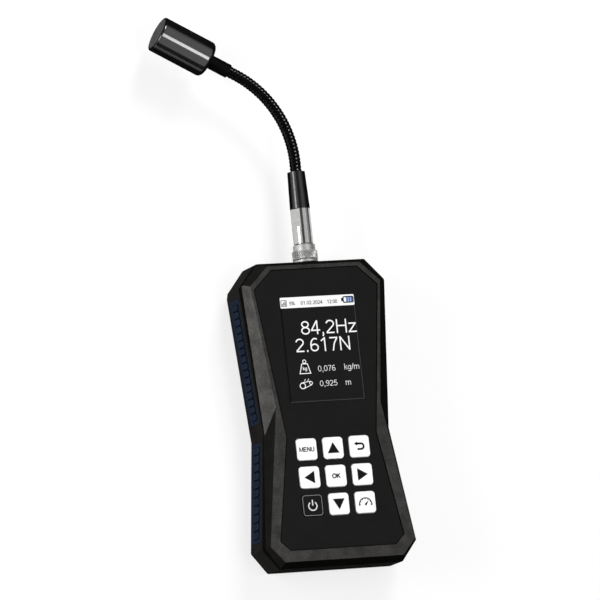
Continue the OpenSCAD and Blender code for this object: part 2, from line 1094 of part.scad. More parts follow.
module coils() {
    rotate_extrude()
        for (i = [1:coils_per_link])
            translate([neck_diameter / 2 - coil_radius, (i + coil_shift) * coil_pitch])
                circle(coil_radius);
}

module neck_link(link) {
    first = link == 1;
    last = link == neck_links;
    start = first ? root_room - neck_root : cup_rim;
    finish = last ? link_length + neck_root - root_room : link_length;
    color(sleeve_black)
        on_link(link)
            difference() {
                union() {
                    translate([0, 0, start])
                        cylinder(r = core_of_neck, h = finish - start);
                    coils();
                    if (!last)
                        translate([0, 0, link_length])
                            sphere(core_of_neck);
                }
                if (!first)
                    sphere(core_of_neck + cup_gap);
                translate([0, 0, -reach / 2])
                    cylinder(r = cable_bore, h = reach);
            }
}

module neck_link_1() {
    neck_link(1);
}

module neck_link_2() {
    neck_link(2);
}

module neck_link_3() {
    neck_link(3);
}

module neck_link_4() {
    neck_link(4);
}

module neck_link_5() {
    neck_link(5);
}

module neck_link_6() {
    neck_link(6);
}

module neck_link_7() {
    neck_link(7);
}

// Microphone head, drawn along +Z from the end of the gooseneck

module on_head(start) {
    on_link(neck_links)
        translate([0, 0, link_length + start])
            children();
}

module neck_collar() {
    color(sleeve_black)
        on_head(0)
            difference() {
                union() {
                    cylinder(r = collar_radius, h = collar_length);
                    cylinder(r = collar_spigot_radius, h = collar_length + collar_spigot);
                }
                translate([0, 0, -past])
                    cylinder(r = core_of_neck + press_gap, h = neck_root + past);
                cylinder(r = cable_bore, h = reach);
            }
}

// Side view of a solid drum with a round on its lower or upper edge
module drum_profile(radius, length, round, at_top) {
    square([radius - round, length]);
    translate([0, at_top ? 0 : round])
        square([radius, length - round]);
    translate([radius - round, at_top ? length - round : round])
        circle(round);
}

barrel_of_head = head_length - cap_thickness;

module head_barrel() {
    inner = head_radius - head_wall;
    color(sleeve_black)
        on_head(collar_length)
            difference() {
                rotate_extrude()
                    drum_profile(head_radius, barrel_of_head, head_back_round, false);
                translate([0, 0, head_back])
                    cylinder(r = inner, h = head_length);
                translate([0, 0, -past])
                    cylinder(r = collar_spigot_radius + press_gap, h = head_back + 2 * past);
            }
}

module head_cap() {
    inner = head_radius - head_wall - seat_gap;
    color(sleeve_black)
        on_head(collar_length + barrel_of_head)
            difference() {
                union() {
                    rotate_extrude()
                        drum_profile(head_radius, cap_thickness, head_front_round, true);
                    translate([0, 0, -cap_spigot])
                        cylinder(r = inner, h = cap_spigot + overlap);
                }
                translate([0, 0, cap_thickness - screen_thickness])
                    cylinder(r = screen_radius + 2 * press_gap, h = screen_thickness + past);
                translate([0, 0, -cap_spigot - past])
                    cylinder(r = screen_radius - screen_ledge, h = cap_thickness + cap_spigot + 2 * past);
            }
}

module head_screen() {
    color(rubber_grey)
        on_head(collar_length + head_length - screen_thickness + resting_gap)
            cylinder(r = screen_radius, h = screen_thickness - resting_gap);
}

capsule_front = barrel_of_head - cap_spigot - capsule_gap;

module capsule() {
    color(nickel)
        on_head(collar_length + capsule_front - capsule_length)
            cylinder(r = capsule_radius, h = capsule_length);
}

module capsule_seat() {
    color(rubber_grey)
        on_head(collar_length + capsule_front - capsule_length)
            tube(head_radius - head_wall - press_gap, capsule_radius + press_gap, capsule_length);
}

front_shell();
rear_shell();
grip_upper_left();
grip_upper_right();
grip_lower_left();
grip_lower_right();
housing_screws();
board_screws();
keypad_overlay();
keypad_spacer();
keypad_circuit();
snap_domes();
key_menu();
key_up();
key_back();
key_left();
key_ok();
key_right();
key_power();
key_down();
key_measure();
display_window();
display_panel();
display_carrier();
main_board();
battery();
battery_pad();
battery_lead();
charging_port();
probe_lead();
probe_socket();
socket_gasket();
socket_nut();
plug_body();
plug_pins();
coupling_ring();
plug_barrel();
strain_sleeve();
neck_link_1();
neck_link_2();
neck_link_3();
neck_link_4();
neck_link_5();
neck_link_6();
neck_link_7();
neck_collar();
head_barrel();
head_cap();
head_screen();
capsule();
capsule_seat();
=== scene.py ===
import math

import bpy
from mathutils import Matrix, Vector


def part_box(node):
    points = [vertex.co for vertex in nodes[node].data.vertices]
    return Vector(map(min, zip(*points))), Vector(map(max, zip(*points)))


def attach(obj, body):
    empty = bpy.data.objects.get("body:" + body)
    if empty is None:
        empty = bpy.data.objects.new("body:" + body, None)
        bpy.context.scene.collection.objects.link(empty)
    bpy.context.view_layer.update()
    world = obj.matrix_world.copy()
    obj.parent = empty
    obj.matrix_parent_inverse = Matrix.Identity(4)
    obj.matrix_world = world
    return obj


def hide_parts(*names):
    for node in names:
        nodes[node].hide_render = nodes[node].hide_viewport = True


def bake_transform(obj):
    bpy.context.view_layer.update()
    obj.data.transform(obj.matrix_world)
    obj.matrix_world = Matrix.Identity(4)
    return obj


# Looks of a handheld belt tension tester with a gooseneck microphone probe.
# Metres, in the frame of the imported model: +Z is the display's normal, +Y points to the probe end.

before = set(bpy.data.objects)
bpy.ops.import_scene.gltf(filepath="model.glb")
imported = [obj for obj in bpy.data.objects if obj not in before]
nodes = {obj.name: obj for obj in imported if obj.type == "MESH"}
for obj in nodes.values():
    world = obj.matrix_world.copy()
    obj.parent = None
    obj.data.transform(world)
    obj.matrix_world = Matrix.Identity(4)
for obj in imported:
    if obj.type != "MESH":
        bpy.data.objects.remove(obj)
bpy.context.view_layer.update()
scene = bpy.context.scene
MM = 0.001


# Shader helpers

NOISE_LOW = 0.3
NOISE_HIGH = 0.7


def grey(shade):
    return (shade, shade, shade)


def tinted(colour, factor):
    return tuple(factor * part for part in colour)


def new_material(name, colour, roughness, metallic=0.0, specular=0.5):
    """A Principled material with its constants set on the shader's own sockets."""
    material = bpy.data.materials.new(name)
    material.use_nodes = True
    material.diffuse_color = (*colour, 1.0)
    shader = shader_of(material)
    shader.inputs["Base Color"].default_value = (*colour, 1.0)
    shader.inputs["Roughness"].default_value = roughness
    shader.inputs["Metallic"].default_value = metallic
    shader.inputs["Specular IOR Level"].default_value = specular
    return material


def shader_of(material):
    return material.node_tree.nodes["Principled BSDF"]


def stretched_coordinates(material, stretch):
    """Coordinates of the piece itself, stretched along its axes."""
    tree = material.node_tree
    place = tree.nodes.new("ShaderNodeTexCoord")
    mapping = tree.nodes.new("ShaderNodeMapping")
    mapping.inputs["Scale"].default_value = stretch
    tree.links.new(place.outputs["Object"], mapping.inputs["Vector"])
    return mapping.outputs["Vector"]


def noise(material, size, detail=3.0, stretch=(1.0, 1.0, 1.0)):
    """Noise whose blotches are about a given size in metres.
    Most of it lies between NOISE_LOW and NOISE_HIGH."""
    tree = material.node_tree
    node = tree.nodes.new("ShaderNodeTexNoise")
    node.inputs["Scale"].default_value = 1.0 / size
    node.inputs["Detail"].default_value = detail
    tree.links.new(stretched_coordinates(material, stretch), node.inputs["Vector"])
    return node.outputs["Fac"]


def vary_colour(material, factor, dark, light):
    """Drives the base colour between two close shades."""
    tree = material.node_tree
    ramp = tree.nodes.new("ShaderNodeValToRGB")
    first, last = ramp.color_ramp.elements
    first.position = NOISE_LOW
    first.color = (*dark, 1.0)
    last.position = NOISE_HIGH
    last.color = (*light, 1.0)
    tree.links.new(factor, ramp.inputs["Fac"])
    tree.links.new(ramp.outputs["Color"], shader_of(material).inputs["Base Color"])


def between(material, factor, low, high, start=NOISE_LOW, end=NOISE_HIGH):
    """A value that runs from low to high as the factor runs from start to end."""
    tree = material.node_tree
    spread = tree.nodes.new("ShaderNodeMapRange")
    spread.inputs["From Min"].default_value = start
    spread.inputs["From Max"].default_value = end
    spread.inputs["To Min"].default_value = low
    spread.inputs["To Max"].default_value = high
    tree.links.new(factor, spread.inputs["Value"])
    return spread.outputs["Result"]


def product(material, first, second):
    tree = material.node_tree
    node = tree.nodes.new("ShaderNodeMath")
    node.operation = "MULTIPLY"
    tree.links.new(first, node.inputs[0])
    tree.links.new(second, node.inputs[1])
    return node.outputs["Value"]


def vary_roughness(material, factor, low, high):
    value = between(material, factor, low, high)
    material.node_tree.links.new(value, shader_of(material).inputs["Roughness"])


def add_bump(material, height, depth, strength):
    """Bump of a given depth in metres; several bumps stack."""
    tree = material.node_tree
    bump = tree.nodes.new("ShaderNodeBump")
    bump.inputs["Distance"].default_value = depth
    bump.inputs["Strength"].default_value = strength
    tree.links.new(height, bump.inputs["Height"])
    normal = shader_of(material).inputs["Normal"]
    if normal.is_linked:
        tree.links.new(normal.links[0].from_socket, bump.inputs["Normal"])
    tree.links.new(bump.outputs["Normal"], normal)


def facing(material):
    """Runs from 0 where the surface is seen straight on to 1 where it is seen edge on."""
    weight = material.node_tree.nodes.new("ShaderNodeLayerWeight")
    weight.inputs["Blend"].default_value = 0.5
    return weight.outputs["Facing"]


def fade_gloss(material, full, start=0.1, end=0.4, mottle=None):
    """A rough surface shades its own grain, so it loses its gloss towards a grazing view.
    A mottle varies the gloss over the surface."""
    gloss = between(material, facing(material), full, 0.0, start, end)
    if mottle is not None:
        gloss = product(material, gloss, mottle)
    material.node_tree.links.new(gloss, shader_of(material).inputs["Specular IOR Level"])


def paint_shade_in_hollows(material, reach, darkest):
    """Painted shade: darkens the base colour in the hollows of a piece, within a reach in metres."""
    tree = material.node_tree
    hollows = tree.nodes.new("ShaderNodeAmbientOcclusion")
    hollows.samples = 8
    hollows.only_local = True
    hollows.inputs["Distance"].default_value = reach
    shade = between(material, hollows.outputs["AO"], darkest, 1.0, start=0.45, end=0.95)
    mix = tree.nodes.new("ShaderNodeMix")
    mix.data_type = "RGBA"
    mix.blend_type = "MULTIPLY"
    mix.inputs["Factor"].default_value = 1.0
    colours = [socket for socket in mix.inputs if socket.type == "RGBA"]
    result = [socket for socket in mix.outputs if socket.type == "RGBA"][0]
    base = shader_of(material).inputs["Base Color"]
    tree.links.new(base.links[0].from_socket, colours[0])
    tree.links.new(shade, colours[1])
    tree.links.new(result, base)


# Materials

def moulded_black(name, shade):
    """Black ABS with a fine spark-eroded grain."""
    colour = (shade, 0.97 * shade, 0.9 * shade)
    gloss = 0.4
    material = new_material(name, colour, 0.42, specular=gloss)
    shader_of(material).inputs["Specular Tint"].default_value = (1.0, 0.98, 0.93, 1.0)
    vary_colour(material, noise(material, 9 * MM), tinted(colour, 0.88), tinted(colour, 1.12))
    vary_roughness(material, noise(material, 1.1 * MM, detail=2.0), 0.36, 0.48)
    add_bump(material, noise(material, 0.35 * MM, detail=2.0), depth=0.03 * MM, strength=0.35)
    clouds = between(material, noise(material, 7 * MM, detail=4.0), 0.6, 1.1)
    speckles = between(material, noise(material, 0.9 * MM, detail=1.0), 0.8, 1.2)
    fade_gloss(material, gloss, start=0.06, end=0.3, mottle=product(material, clouds, speckles))
    return material


def soft_blue():
    """Dark blue soft moulding of the grips."""
    gloss = 0.3
    material = new_material("soft_blue", (0.0135, 0.020, 0.035), 0.6, specular=gloss)
    fade_gloss(material, gloss)
    vary_colour(material, noise(material, 6 * MM), (0.012, 0.018, 0.032), (0.015, 0.022, 0.039))
    vary_roughness(material, noise(material, 1.5 * MM), 0.52, 0.68)
    add_bump(material, noise(material, 0.25 * MM, detail=2.0), depth=0.03 * MM, strength=0.4)
    # Painted shade in the grooves between the grip's ribs.
    paint_shade_in_hollows(material, reach=1.5 * MM, darkest=0.15)
    return material


def printed_film(name, dark, light, roughness, specular):
    """Matte polyester film with a fine velvet texture."""
    material = new_material(name, light, roughness, specular=specular)
    vary_colour(material, noise(material, 12 * MM), dark, light)
    vary_roughness(material, noise(material, 4 * MM), roughness - 0.05, roughness + 0.05)
    add_bump(material, noise(material, 0.2 * MM, detail=2.0), depth=0.008 * MM, strength=0.25)
    return material


def window_pane():
    """Dark display behind a smooth bonded pane."""
    material = new_material("window_pane", grey(0.005), 0.3, specular=0.07)
    vary_colour(material, noise(material, 20 * MM), grey(0.0045), grey(0.0055))
    vary_roughness(material, noise(material, 6 * MM), 0.29, 0.31)
    return material


def plated_metal(name, marks, colour, roughness):
    """Plated metal whose turning or rolling marks come from a stretch of the coordinates."""
    material = new_material(name, colour, roughness, metallic=1.0)
    streaks = noise(material, 0.25 * MM, stretch=marks)
    vary_colour(material, noise(material, 4 * MM), tinted(colour, 0.92), colour)
    vary_roughness(material, streaks, roughness - 0.07, roughness + 0.07)
    add_bump(material, streaks, depth=0.001 * MM, strength=0.05)
    return material


def vary_black(material, shade):
    vary_colour(material, noise(material, 5 * MM), grey(0.8 * shade), grey(1.25 * shade))


def add_satin(material, roughness, specular, grain):
    """Faint grain of a given size in metres, and a gloss that fades towards a grazing view."""
    vary_roughness(material, noise(material, 1.2 * MM), 0.8 * roughness, 1.2 * roughness)
    add_bump(material, noise(material, grain, detail=2.0), depth=0.004 * MM, strength=0.15)
    fade_gloss(material, specular, start=0.15, end=0.34)


def satin_black(name, shade, roughness, specular, grain):
    """Black satin finish, for sleeve, collar, head and seals."""
    material = new_material(name, grey(shade), roughness, specular=specular)
    vary_black(material, shade)
    add_satin(material, roughness, specular, grain)
    return material


def red_wire():
    """Red insulation of the leads inside the housing."""
    roughness = 0.4
    gloss = 0.5
    dark = (0.35, 0.02, 0.02)
    light = (0.45, 0.03, 0.03)
    material = new_material("wire_red", dark, roughness, specular=gloss)
    vary_colour(material, noise(material, 4 * MM), dark, light)
    add_satin(material, roughness, gloss, 0.3 * MM)
    return material


def coiled_black():
    """Black coated coils: dull where they are seen straight on, with a spark of gloss on their sides."""
    shade = 0.002
    material = new_material("coil_black", grey(shade), 0.12)
    vary_black(material, shade)
    vary_roughness(material, noise(material, 1.2 * MM), 0.10, 0.14)
    rise = between(material, facing(material), 0.05, 1.0, start=0.10, end=0.15)
    fade_gloss(material, 0.3, start=0.18, end=0.28, mottle=rise)
    return material


def woven_screen():
    """Fine woven screen over the microphone."""
    material = new_material("woven_screen", grey(0.05), 0.7, specular=0.1)
    tree = material.node_tree
    checks = tree.nodes.new("ShaderNodeTexChecker")
    checks.inputs["Scale"].default_value = 1.0 / (0.3 * MM)
    tree.links.new(stretched_coordinates(material, (1.0, 1.0, 1.0)), checks.inputs["Vector"])
    vary_colour(material, checks.outputs["Fac"], grey(0.028), grey(0.042))
    add_bump(material, checks.outputs["Fac"], depth=0.02 * MM, strength=0.3)
    return material


def coated_board():
    """Green solder mask with pale traces."""
    material = new_material("coated_board", (0.02, 0.12, 0.05), 0.35)
    traces = noise(material, 1.5 * MM, detail=1.0, stretch=(1.0, 0.15, 1.0))
    vary_colour(material, traces, (0.015, 0.10, 0.04), (0.03, 0.17, 0.07))
    add_bump(material, traces, depth=0.03 * MM, strength=0.4)
    return material


def shining(name, colour, strength):
    """A lit part of the display."""
    material = new_material(name, tinted(colour, 0.3), 0.3, specular=0.2)
    shader_of(material).inputs["Emission Color"].default_value = (*colour, 1.0)
    shader_of(material).inputs["Emission Strength"].default_value = strength
    vary_roughness(material, noise(material, 2 * MM), 0.25, 0.35)
    return material


RINGS_ALONG_Y = (0.02, 1.0, 0.02)
STREAKS_ALONG_Y = (1.0, 0.3, 1.0)
STREAKS_ALONG_Z = (1.0, 1.0, 0.05)
shell_finish = moulded_black("moulded_black", 0.004)
# A lighter copy of the same black for the rear shell: painted sheen that stands in for the pale floor's
# reflection in its side walls.
rear_painted_sheen_finish = moulded_black("moulded_black_painted_sheen", 0.014)
grip_finish = soft_blue()
film_finish = printed_film("black_film", grey(0.0045), grey(0.0055), 0.5, 0.065)
key_finish = printed_film("white_film", (0.86, 0.86, 0.855), (0.90, 0.90, 0.895), 0.45, 0.3)
layer_finish = printed_film("inner_film", (0.10, 0.11, 0.10), (0.14, 0.15, 0.14), 0.5, 0.4)
spacer_finish = printed_film("spacer_film", grey(0.004), grey(0.006), 0.6, 0.1)
pane_finish = window_pane()
nickel_finish = plated_metal("bright_nickel", RINGS_ALONG_Y, (0.47, 0.468, 0.462), 0.17)
satin_nickel_finish = plated_metal("satin_nickel", RINGS_ALONG_Y, (0.40, 0.398, 0.392), 0.5)
dull_nickel_finish = plated_metal("dull_nickel", RINGS_ALONG_Y, (0.42, 0.42, 0.41), 0.32)
gold_finish = plated_metal("gold_plate", RINGS_ALONG_Y, (0.80, 0.60, 0.25), 0.2)
steel_finish = plated_metal("zinc_steel", STREAKS_ALONG_Z, (0.45, 0.45, 0.46), 0.35)
foil_finish = plated_metal("battery_foil", STREAKS_ALONG_Y, (0.55, 0.57, 0.60), 0.4)
sleeve_finish = satin_black("sleeve_black", 0.003, 0.22, 0.6, 0.4 * MM)
collar_finish = satin_black("collar_black", 0.002, 0.45, 0.025, 0.4 * MM)
head_finish = satin_black("head_black", 0.004, 0.10, 1.0, 0.5 * MM)
seal_finish = satin_black("seal_black", 0.015, 0.6, 0.4, 0.3 * MM)
wire_finish = red_wire()
coil_finish = coiled_black()
screen_finish = woven_screen()
board_finish = coated_board()
ink_finish = printed_film("black_ink", grey(0.004), grey(0.006), 0.5, 0.06)
pale_ink_finish = printed_film("pale_ink", grey(0.62), grey(0.70), 0.5, 0.2)
grey_ink_finish = printed_film("grey_ink", grey(0.22), grey(0.25), 0.5, 0.2)
lit_white = shining("lit_white", grey(1.0), 0.62)
lit_blue = shining("lit_blue", (0.10, 0.22, 0.62), 0.4)
lit_grey = shining("lit_grey", grey(0.06), 0.4)
unlit_black = printed_film("unlit_black", grey(0.006), grey(0.008), 0.4, 0.1)
unlit_grey = printed_film("unlit_grey", grey(0.07), grey(0.09), 0.4, 0.1)
# A near-black film with no gloss, used for a painted shadow on the display.
painted_shadow_black = printed_film("painted_shadow_black", grey(0.0015), grey(0.0025), 0.6, 0.0)

KEYS = ["menu", "up", "back", "left", "ok", "right", "power", "down", "measure"]
LINKS = 7
FINISHES = {
    "front_shell": shell_finish, "rear_shell": rear_painted_sheen_finish,
    "housing_screws": steel_finish, "board_screws": steel_finish, "snap_domes": steel_finish,
    "keypad_overlay": film_finish, "key_power": film_finish,
    "keypad_spacer": spacer_finish, "keypad_circuit": layer_finish, "display_carrier": layer_finish,
    "display_window": pane_finish, "display_panel": pane_finish,
    "main_board": board_finish, "battery": foil_finish, "battery_pad": seal_finish,
    "battery_lead": wire_finish, "probe_lead": wire_finish,
    "charging_port": dull_nickel_finish, "probe_socket": satin_nickel_finish, "socket_gasket": seal_finish,
    "socket_nut": dull_nickel_finish, "plug_body": nickel_finish, "plug_pins": gold_finish,
    "coupling_ring": satin_nickel_finish, "plug_barrel": nickel_finish, "strain_sleeve": sleeve_finish,
    "neck_collar": collar_finish, "head_barrel": head_finish, "head_cap": head_finish,
    "head_screen": screen_finish, "capsule": dull_nickel_finish, "capsule_seat": seal_finish,
}
for key in KEYS:
    FINISHES.setdefault("key_" + key, key_finish)
for side in ("left", "right"):
    FINISHES["grip_upper_" + side] = grip_finish
    FINISHES["grip_lower_" + side] = grip_finish
for link in range(1, LINKS + 1):
    FINISHES["neck_link_%d" % link] = coil_finish


def dress(name, finish):
    """Gives a CAD node its finish in all its slots."""
    slots = nodes[name].data.materials
    slots.clear()
    slots.append(finish)


for name, finish in FINISHES.items():
    dress(name, finish)


def ease_edges(name, width):
    """Takes the knife edge off a node, as a mould or a deburring tool does."""
    node = nodes[name]
    weld = node.modifiers.new("weld", "WELD")
    weld.merge_threshold = 0.002 * MM
    flats = node.modifiers.new("flats", "DECIMATE")
    flats.decimate_type = "DISSOLVE"
    flats.angle_limit = math.radians(1.0)
    bevel = node.modifiers.new("edges", "BEVEL")
    bevel.width = width
    bevel.segments = 2
    bevel.limit_method = "ANGLE"
    bevel.angle_limit = math.radians(18.0)
    bevel.harden_normals = True


ease_edges("front_shell", 0.35 * MM)
ease_edges("rear_shell", 0.3 * MM)
for key in KEYS:
    ease_edges("key_" + key, 0.12 * MM)


# Flat artwork: outlines in millimetres, x to the right and y up, given a small thickness

INK_THICKNESS = 0.03


def curve_mesh(curve):
    """Turns a curve into a mesh and drops the curve."""
    holder = bpy.data.objects.new("outline", curve)
    scene.collection.objects.link(holder)
    graph = bpy.context.evaluated_depsgraph_get()
    mesh = bpy.data.meshes.new_from_object(holder.evaluated_get(graph))
    bpy.data.objects.remove(holder)
    return mesh


def filled(outlines):
    """A plate with these outlines; an outline inside another is a hole."""
    curve = bpy.data.curves.new("outline", "CURVE")
    curve.dimensions = "2D"
    curve.fill_mode = "BOTH"
    curve.extrude = INK_THICKNESS / 2
    for outline in outlines:
        spline = curve.splines.new("POLY")
        spline.points.add(len(outline) - 1)
        for point, (x, y) in zip(spline.points, outline):
            point.co = (x, y, 0.0, 1.0)
        spline.use_cyclic_u = True
    return curve_mesh(curve)


def oval(centre, across, high, start=0, end=360, steps=40):
    """Points on an oval, from its half widths, angles in degrees."""
    turns = [math.radians(start + (end - start) * step / steps) for step in range(steps + 1)]
    return [(centre[0] + across * math.cos(turn), centre[1] + high * math.sin(turn)) for turn in turns]


def arc(centre, radius, start, end, steps):
    return oval(centre, radius, radius, start, end, steps)


def circle(centre, radius):
    """A closed outline: the last point, which repeats the first, is left out."""
    return arc(centre, radius, 0, 360, 48)[:-1]


def ring(centre, radius, width):
    return filled([circle(centre, radius), circle(centre, radius - width)])


def box_outline(low, high, radius=0.0):
    """A rectangle, with round corners where a radius is given."""
    if radius == 0.0:
        return [low, (high[0], low[1]), high, (low[0], high[1])]
    corners = [
        ((high[0] - radius, high[1] - radius), 0), ((low[0] + radius, high[1] - radius), 90),
        ((low[0] + radius, low[1] + radius), 180), ((high[0] - radius, low[1] + radius), 270),
    ]
    return [point for centre, start in corners for point in arc(centre, radius, start, start + 90, 8)]


def block(low, high, radius=0.0):
    return filled([box_outline(low, high, radius)])


def box_frame(low, high, radius, width):
    """A rectangular line of a given width, with round corners."""
    inner_low = (low[0] + width, low[1] + width)
    inner_high = (high[0] - width, high[1] - width)
    inner_radius = max(radius - width, 0.05)
    return filled([box_outline(low, high, radius), box_outline(inner_low, inner_high, inner_radius)])


def stroke(points, width):
    """A line of a given width along the points, cut square at its ends."""
    left = []
    right = []
    for index, (x, y) in enumerate(points):
        before = Vector(points[max(index - 1, 0)])
        after = Vector(points[min(index + 1, len(points) - 1)])
        way = (after - before).normalized()
        left.append((x - way.y * width / 2, y + way.x * width / 2))
        right.append((x + way.y * width / 2, y - way.x * width / 2))
    return filled([left + right[::-1]])


# Stroked figures and letters: the width of a cell of height 1, and the paths drawn in it

FIGURE_CELL = 0.62
NARROW_CELL = 0.31
DOT = 0.155


def stem(x, top=1.0, foot=0.0):
    return [(x, foot), (x, top)]


def bar(start, end, y):
    return [(start, y), (end, y)]


GLYPHS = {
    "0": (FIGURE_CELL, [oval((0.31, 0.5), 0.225, 0.435)]),
    "1": (FIGURE_CELL, [stem(0.36), [(0.13, 0.74), (0.34, 0.93)]]),
    "2": (FIGURE_CELL, [oval((0.31, 0.70), 0.225, 0.235, 170, -30) + [(0.085, 0.1)], bar(0.06, 0.56, 0.066)]),
    "4": (FIGURE_CELL, [[(0.40, 0.94), (0.07, 0.31)], bar(0.03, 0.60, 0.29), stem(0.43)]),
    "5": (FIGURE_CELL, [bar(0.53, 0.15, 0.934), [(0.18, 0.97), (0.11, 0.46)],
                        oval((0.3, 0.33), 0.23, 0.265, 145, -150)]),
    "6": (FIGURE_CELL, [oval((0.31, 0.3), 0.225, 0.235), oval((0.36, 0.48), 0.275, 0.455, 60, 190)]),
    "7": (FIGURE_CELL, [bar(0.06, 0.57, 0.934), [(0.53, 0.90), (0.34, 0.52), (0.24, 0.0)]]),
    "8": (FIGURE_CELL, [oval((0.31, 0.735), 0.2, 0.2), oval((0.31, 0.285), 0.235, 0.225)]),
    "9": (FIGURE_CELL, [oval((0.31, 0.7), 0.225, 0.235), oval((0.26, 0.52), 0.275, 0.455, 240, 370)]),
    "E": (0.74, [stem(0.12)] + [bar(0.12, 0.67, y) for y in (0.066, 0.52, 0.934)]),
    "H": (0.80, [stem(0.12), stem(0.68), bar(0.12, 0.68, 0.53)]),
    "K": (0.74, [stem(0.12), [(0.65, 0.98), (0.14, 0.42)], [(0.30, 0.56), (0.68, 0.0)]]),
    "M": (0.92, [stem(0.12), stem(0.80), [(0.13, 0.95), (0.46, 0.06), (0.79, 0.95)]]),
    "N": (0.80, [stem(0.12), stem(0.68), [(0.13, 0.96), (0.67, 0.04)]]),
    "O": (0.86, [oval((0.43, 0.5), 0.34, 0.45)]),
    "U": (0.80, [[(0.12, 1.0)] + oval((0.40, 0.345), 0.28, 0.29, 180, 360) + [(0.68, 1.0)]]),
    "g": (0.60, [oval((0.28, 0.36), 0.2, 0.3), [(0.49, 0.7)] + oval((0.28, -0.05), 0.21, 0.19, 0, -150)]),
    "k": (0.54, [stem(0.10), [(0.46, 0.70), (0.12, 0.32)], [(0.22, 0.42), (0.50, 0.0)]]),
    "m": (0.92, [stem(0.10, top=0.72)]
          + [oval((arch, 0.46), 0.18, 0.2, 180, 0) + [(arch + 0.18, 0.0)] for arch in (0.28, 0.64)]),
    "z": (0.56, [bar(0.05, 0.51, 0.66), [(0.48, 0.66), (0.07, 0.066)], bar(0.03, 0.53, 0.062)]),
    "%": (0.90, [oval((0.2, 0.76), 0.13, 0.18), oval((0.7, 0.24), 0.13, 0.18), [(0.2, 0.0), (0.7, 1.0)]]),
    "/": (NARROW_CELL, [[(0.02, -0.02), (0.29, 1.0)]]),
    ":": (NARROW_CELL, [stem(DOT, top=0.16), stem(DOT, top=0.72, foot=0.56)]),
    ".": (NARROW_CELL, [stem(DOT, top=0.14)]),
    ",": (NARROW_CELL, [stem(DOT, top=0.14), [(0.19, 0.02), (0.12, -0.16)]]),
}


def stroked_words(text, height, right, base, width, weight):
    """Lettering of even strokes, set from its right end and drawn to a given width.
    The weight is the width of a stroke as a share of the height."""
    natural = sum(GLYPHS[letter][0] for letter in text)
    spread = width / (natural * height)
    plates = []
    left = right - width
    for letter in text:
        cell, paths = GLYPHS[letter]
        for path in paths:
            points = [(left + x * height * spread, base + y * height) for x, y in path]
            plates.append(stroke(points, weight * height))
        left += cell * height * spread
    return plates


def art(name, plates, origin, finish, body):
    """Joins plates into one piece that lies on a face, and lets it ride on a body."""
    vertices = []
    faces = []
    for plate in plates:
        first = len(vertices)
        vertices.extend(Vector(vertex.co) for vertex in plate.vertices)
        faces.extend([first + corner for corner in face.vertices] for face in plate.polygons)
    lift = Vector((0.0, 0.0, INK_THICKNESS / 2))
    mesh = bpy.data.meshes.new(name)
    mesh.from_pydata([Vector(origin) + (vertex + lift) * MM for vertex in vertices], [], faces)
    mesh.materials.append(finish)
    piece = bpy.data.objects.new(name, mesh)
    scene.collection.objects.link(piece)
    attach(piece, body)


# Key legends, measured from the middle of a key's top

def top_centre(node):
    low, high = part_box(node)
    return Vector(((low.x + high.x) / 2, (low.y + high.y) / 2, high.z))


def unit(turn):
    """The direction at an angle in degrees."""
    return Vector((math.cos(math.radians(turn)), math.sin(math.radians(turn))))


def triangle(turn):
    """A solid arrowhead that points up before it is turned."""
    half = 3.4
    tip = 3.1
    foot = -2.8
    cos = math.cos(math.radians(turn))
    sin = math.sin(math.radians(turn))
    points = [(0.0, tip), (-half, foot), (half, foot)]
    return filled([[(x * cos - y * sin, x * sin + y * cos) for x, y in points]])


def return_arrow():
    """An arrow that runs right, round and back to the left."""
    line = 1.05
    radius = 1.5
    head_tip = -3.0
    head_foot = -1.2
    head_half = 1.15
    bend = [(-1.6, radius)] + arc((0.9, 0.0), radius, 90, -90, 20) + [(-1.3, -radius)]
    head = [(head_tip, radius), (head_foot, radius + head_half), (head_foot, radius - head_half)]
    return [stroke(bend, line), filled([head])]


def power_sign():
    """An open ring with a bar in its gap."""
    line = 0.66
    open_ring = stroke(arc((0.0, -0.35), 2.35, 128, 412, 48), line)
    return [open_ring, block((-line / 2, -0.1), (line / 2, 3.0))]


def gauge_sign():
    """A small dial: an arc with ticks and a needle."""
    hub = Vector((0.0, -1.3))
    radius = 3.6
    tick = 0.7
    needle = 2.9
    needle_half = 0.65
    plates = [stroke(arc(hub, radius, 188, -8, 40), 0.6)]
    for turn in range(180, -1, -30):
        plates.append(stroke([hub + unit(turn) * (radius - tick), hub + unit(turn) * radius], 0.55))
    way = unit(50)
    across = Vector((-way.y, way.x)) * needle_half
    foot = hub - way * 0.3
    plates.append(filled([[foot + across, hub + way * needle, foot - across]]))
    return plates


LEGENDS = {
    "menu": stroked_words("MENU", height=2.5, right=4.4, base=-1.25, width=8.8, weight=0.2),
    "up": [triangle(0)],
    "back": return_arrow(),
    "left": [triangle(90)],
    "ok": stroked_words("OK", height=2.4, right=2.4, base=-1.2, width=4.7, weight=0.26),
    "right": [triangle(-90)],
    "down": [triangle(180)],
    "measure": gauge_sign(),
}
for key, plates in LEGENDS.items():
    art("legend_" + key, plates, top_centre("key_" + key), ink_finish, key + "_key")
art("legend_power", power_sign(), top_centre("key_power"), pale_ink_finish, "power_key")
key_half = 5.55
power_frame = box_frame((-key_half, -key_half), (key_half, key_half), radius=1.6, width=0.26)
art("outline_power", [power_frame], top_centre("key_power"), grey_ink_finish, "power_key")


# Display picture, measured from the upper left corner of the visible display

DISPLAY_WIDTH = 43.2
DISPLAY_HEIGHT = 57.6
EDGE = 0.25
EDGE_LINE = 0.3
PAINTED_SHADOW_LINE = 0.4
BAR_HEIGHT = 6.1
BAR_BASE = -4.6
SIGN_MIDDLE = 10.5
display_corner = top_centre("display_window") + Vector((-DISPLAY_WIDTH / 2, DISPLAY_HEIGHT / 2, 0.0)) * MM
bar_corner = display_corner + Vector((0.0, 0.0, INK_THICKNESS * MM))


def show(name, plates, finish, on_bar=False):
    """A part of the picture; what lies on the status bar sits one layer higher."""
    art(name, plates, bar_corner if on_bar else display_corner, finish, "housing")


